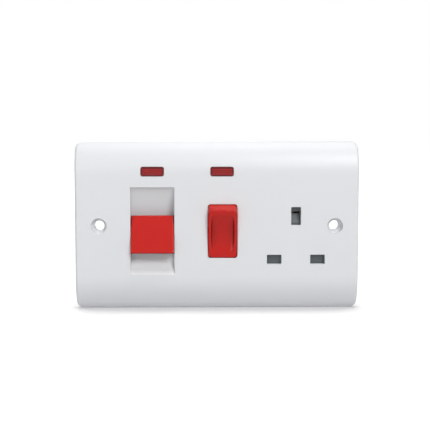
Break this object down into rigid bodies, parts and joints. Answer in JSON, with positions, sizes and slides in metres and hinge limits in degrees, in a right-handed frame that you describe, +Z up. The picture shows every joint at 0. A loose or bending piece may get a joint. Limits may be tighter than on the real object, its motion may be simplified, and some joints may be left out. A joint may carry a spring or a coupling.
{
  "type": "cooker control unit",
  "caption": "Double wall plate with a large red cooker rocker in a scooped recess, a switched socket outlet with a red rocker, and red neon windows above the switches.",
  "frame": {"origin": "middle of the plate on the wall plane, halfway between the fixing holes", "axes": "+X to the right as the user sees it, +Z up, +Y into the wall; the face looks along -Y"},
  "size_m": [0.1448, 0.0424, 0.086],
  "materials": {
    "white_plate": "moulded white urea, satin gloss",
    "red_rocker": "moulded red, satin gloss",
    "white_moulding": "moulded off-white",
    "grey_moulding": "moulded dark grey",
    "cradle_moulding": "moulded off-white",
    "brass_contact": "stamped brass strip",
    "brass_terminal": "machined brass",
    "brass_plunger": "turned brass",
    "spring_steel": "drawn spring wire",
    "plated_screw": "zinc plated steel",
    "red_lens": "clear red, fluted behind",
    "lamp_glass": "clear glass bulb",
    "resistor_body": "lacquered resistor"
  },
  "bodies": {
    "casing": {"front_plate": "white_plate", "neutral_fixed_contact": "brass_contact", "live_fixed_contact": "brass_contact", "neutral_pivot_strap": "brass_contact", "live_pivot_strap": "brass_contact", "load_neutral_terminal": "brass_terminal", "load_live_terminal": "brass_terminal", "supply_neutral_terminal": "brass_terminal", "supply_live_terminal": "brass_terminal", "mains_terminal_screws": "plated_screw", "socket_live_contact": "brass_contact", "socket_neutral_contact": "brass_contact", "socket_earth_contact": "brass_contact", "socket_fixed_contact": "brass_contact", "live_link": "brass_contact", "neutral_link": "brass_contact", "earth_strap": "brass_contact", "earth_terminal": "brass_terminal", "earth_terminal_screws": "plated_screw", "cooker_switch_base": "white_moulding", "socket_base": "white_moulding", "socket_rear_cover": "white_moulding", "cooker_base_screws": "plated_screw", "socket_base_screws": "plated_screw", "socket_cover_screws": "plated_screw", "shutter_spring": "spring_steel", "cooker_neon_lens": "red_lens", "cooker_neon_holder": "grey_moulding", "cooker_neon_lamp": "lamp_glass", "cooker_neon_resistor": "resistor_body", "socket_neon_lens": "red_lens", "socket_neon_holder": "grey_moulding", "socket_neon_lamp": "lamp_glass", "socket_neon_resistor": "resistor_body"},
    "cooker_rocker": {"cooker_rocker_cap": "red_rocker", "cooker_rocker_cradle": "cradle_moulding", "cooker_live_spring": "spring_steel", "cooker_neutral_spring": "spring_steel"},
    "cooker_live_plunger": {"cooker_live_plunger": "brass_plunger"},
    "cooker_neutral_plunger": {"cooker_neutral_plunger": "brass_plunger"},
    "live_moving_contact": {"live_moving_contact": "brass_contact"},
    "neutral_moving_contact": {"neutral_moving_contact": "brass_contact"},
    "socket_rocker": {"socket_rocker": "red_rocker", "socket_spring": "spring_steel"},
    "socket_plunger": {"socket_plunger": "brass_plunger"},
    "socket_moving_contact": {"socket_moving_contact": "brass_contact"},
    "shutter": {"shutter": "grey_moulding"}
  },
  "joints": [
    {"name": "cooker_rocker_hinge", "type": "hinge", "parent": "casing", "child": "cooker_rocker", "pos_m": [-0.0326, -0.0016, -0.006], "axis": [1, 0, 0], "range_deg": [0, 32]},
    {"name": "socket_rocker_hinge", "type": "hinge", "parent": "casing", "child": "socket_rocker", "pos_m": [0.0028, -0.0043, -0.0026], "axis": [-1, 0, 0], "range_deg": [0, 19.6]},
    {"name": "socket_moving_contact_hinge", "type": "hinge", "parent": "casing", "child": "socket_moving_contact", "pos_m": [0.0028, 0.0081, -0.0026], "axis": [1, 0, 0], "range_deg": [0, 10]},
    {"name": "shutter_slide", "type": "slide", "parent": "casing", "child": "shutter", "axis": [0, 0, -1], "range_m": [0, 0.006], "stiffness_N_per_m": 150, "springref_m": -0.002, "deforming": ["shutter_spring"]},
    {"name": "socket_plunger_slide", "type": "slide", "parent": "socket_rocker", "child": "socket_plunger", "axis": [0, -0.9854, -0.1702], "range_m": [0, 0.0012], "stiffness_N_per_m": 200, "springref_m": -0.001, "deforming": ["socket_spring"]},
    {"name": "live_moving_contact_hinge", "type": "hinge", "parent": "casing", "child": "live_moving_contact", "pos_m": [-0.0266, 0.00831, -0.006], "axis": [1, 0, 0], "range_deg": [-12, 0]},
    {"name": "cooker_live_plunger_slide", "type": "slide", "parent": "cooker_rocker", "child": "cooker_live_plunger", "axis": [0, -0.9613, 0.2756], "range_m": [0, 0.0012], "stiffness_N_per_m": 200, "springref_m": -0.001, "deforming": ["cooker_live_spring"]},
    {"name": "neutral_moving_contact_hinge", "type": "hinge", "parent": "casing", "child": "neutral_moving_contact", "pos_m": [-0.0386, 0.00831, -0.006], "axis": [1, 0, 0], "range_deg": [-12, 0]},
    {"name": "cooker_neutral_plunger_slide", "type": "slide", "parent": "cooker_rocker", "child": "cooker_neutral_plunger", "axis": [0, -0.9613, 0.2756], "range_m": [0, 0.0012], "stiffness_N_per_m": 200, "springref_m": -0.001, "deforming": ["cooker_neutral_spring"]}
  ],
  "couplings": [
    {"joint": "socket_moving_contact_hinge", "follows": "socket_rocker_hinge", "ratio": 0.5102},
    {"joint": "live_moving_contact_hinge", "follows": "cooker_rocker_hinge", "ratio": -0.375},
    {"joint": "neutral_moving_contact_hinge", "follows": "cooker_rocker_hinge", "ratio": -0.375}
  ]
}
